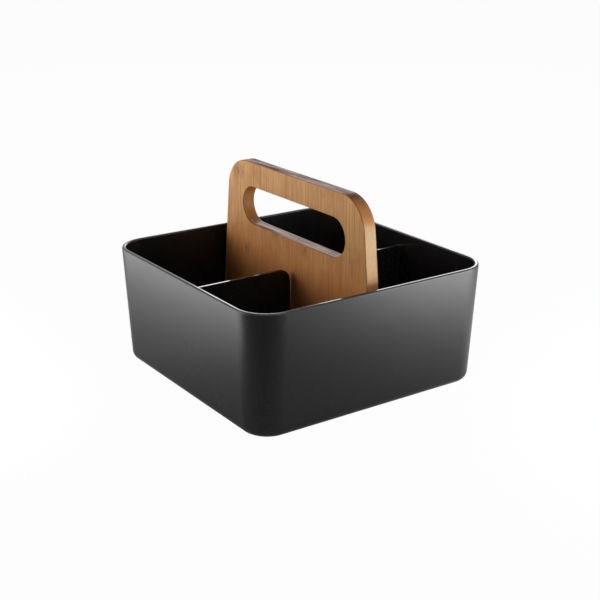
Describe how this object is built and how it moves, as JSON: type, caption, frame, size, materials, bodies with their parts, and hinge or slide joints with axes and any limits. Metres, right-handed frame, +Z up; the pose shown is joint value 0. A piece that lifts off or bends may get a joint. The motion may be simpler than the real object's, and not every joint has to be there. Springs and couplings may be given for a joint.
{
  "type": "table caddy with carrying board",
  "caption": "Square open caddy: a tapered moulded tray split into compartments by half dividers and an upright wooden board with a hand hole that carries it.",
  "frame": {"origin": "on the surface it stands on, under the middle of the tray", "axes": "+Z up, X along the carrying board, Y along the dividers and through the hand hole, front at -Y"},
  "size_m": [0.2, 0.2, 0.1473],
  "materials": {
    "black_plastic": "moulded plastic, satin outside and glossy inside",
    "bamboo": "laminated bamboo, upright grain, thin clear lacquer",
    "screw_steel": "zinc-plated steel",
    "foot_rubber": "soft dark rubber"
  },
  "bodies": {
    "root": {"tray": "black_plastic", "handle_board": "bamboo", "handle_screw_left": "screw_steel", "handle_screw_right": "screw_steel", "foot_front_left": "foot_rubber", "foot_front_right": "foot_rubber", "foot_back_left": "foot_rubber", "foot_back_right": "foot_rubber"}
  },
  "joints": []
}
